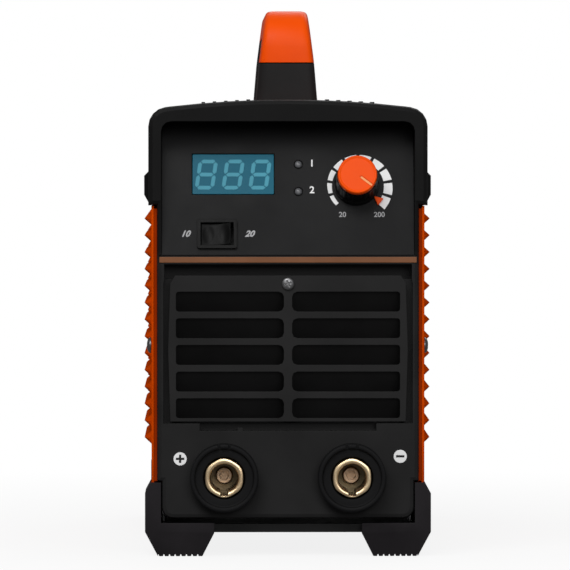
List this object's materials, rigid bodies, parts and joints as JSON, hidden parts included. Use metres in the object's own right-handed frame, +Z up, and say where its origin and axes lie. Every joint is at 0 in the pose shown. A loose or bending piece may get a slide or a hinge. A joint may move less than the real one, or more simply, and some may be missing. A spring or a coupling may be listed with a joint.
{
  "type": "stick welding inverter",
  "caption": "Portable stick welding power source: louvred steel case, carrying handle, leaning control panel with knob and display, vent grille and panel sockets.",
  "frame": {"origin": "on the floor, under the middle of the bounding box", "axes": "+X to the right of someone facing the front, +Y to the back, +Z up"},
  "size_m": [0.133, 0.313, 0.2525],
  "materials": {
    "orange_paint": "fine powder coat, semi-gloss",
    "black_plastic": "fine moulded grain",
    "gloss_black": "smooth",
    "black_film": "satin printed film",
    "orange_plastic": "satin",
    "black_rubber": "matte",
    "blue_window": "clear tinted",
    "grey_lens": "translucent",
    "brass": "turned",
    "steel": "zinc plated",
    "black_steel": "black coat",
    "copper": "bare copper bar",
    "aluminium": "extruded",
    "green_board": "solder mask",
    "dark_ferrite": "matte",
    "yellow_tape": "wound tape"
  },
  "bodies": {
    "housing": {"casing": "orange_paint", "chassis_base": "black_steel", "front_panel": "black_plastic", "rear_panel": "black_plastic", "foot_front_left": "black_rubber", "foot_front_right": "black_rubber", "foot_rear_left": "black_rubber", "foot_rear_right": "black_rubber", "handle_body": "black_plastic", "handle_grip": "orange_plastic", "handle_screw_front": "steel", "handle_screw_rear": "steel", "casing_screw_front_left": "steel", "casing_screw_front_right": "steel", "casing_screw_rear_left": "steel", "casing_screw_rear_right": "steel", "control_overlay": "black_film", "accent_strip": "orange_plastic", "display_window": "blue_window", "display_module": "dark_ferrite", "control_board": "green_board", "indicator_upper": "grey_lens", "indicator_lower": "grey_lens", "potentiometer": "steel", "mode_switch_housing": "gloss_black", "power_switch_housing": "gloss_black", "vent_grille": "black_plastic", "grille_screw": "steel", "socket_body_negative": "black_rubber", "socket_body_positive": "black_rubber", "socket_contact_negative": "brass", "socket_contact_positive": "brass", "socket_bolt_negative": "steel", "socket_bolt_positive": "steel", "busbar_negative": "copper", "busbar_positive": "copper", "fan_frame": "black_plastic", "fan_guard": "black_steel", "cable_gland": "black_plastic", "cable_gland_nut": "black_plastic", "earth_screw": "brass", "main_board": "green_board", "board_rail_left": "aluminium", "board_rail_right": "aluminium", "heatsink_left": "aluminium", "heatsink_right": "aluminium", "transformer_core": "dark_ferrite", "transformer_winding": "yellow_tape", "output_choke": "yellow_tape", "capacitor_1": "black_rubber", "capacitor_2": "black_rubber", "capacitor_3": "black_rubber", "bridge_rectifier": "dark_ferrite"},
    "knob": {"current_knob": "black_plastic", "knob_cap": "orange_plastic", "potentiometer_shaft": "steel"},
    "mode_rocker": {"mode_switch_rocker": "gloss_black"},
    "power_rocker": {"power_switch_rocker": "gloss_black"},
    "fan": {"fan_rotor": "black_plastic"}
  },
  "joints": [
    {"name": "current_knob_turn", "type": "hinge", "parent": "housing", "child": "knob", "pos_m": [0.0318, -0.13789, 0.1717], "axis": [0, -0.9563, 0.2924], "range_deg": [-8, 262]},
    {"name": "mode_rocker_tip", "type": "hinge", "parent": "housing", "child": "mode_rocker", "pos_m": [-0.0326, -0.14304, 0.14802], "axis": [0, 0.2924, 0.9563], "range_deg": [0, 20]},
    {"name": "power_rocker_tip", "type": "hinge", "parent": "housing", "child": "power_rocker", "pos_m": [-0.028, 0.1345, 0.165], "axis": [1, 0, 0], "range_deg": [0, 20]},
    {"name": "fan_spin", "type": "hinge", "parent": "housing", "child": "fan", "pos_m": [0, 0.1225, 0.068], "axis": [0, 1, 0], "continuous": true}
  ]
}
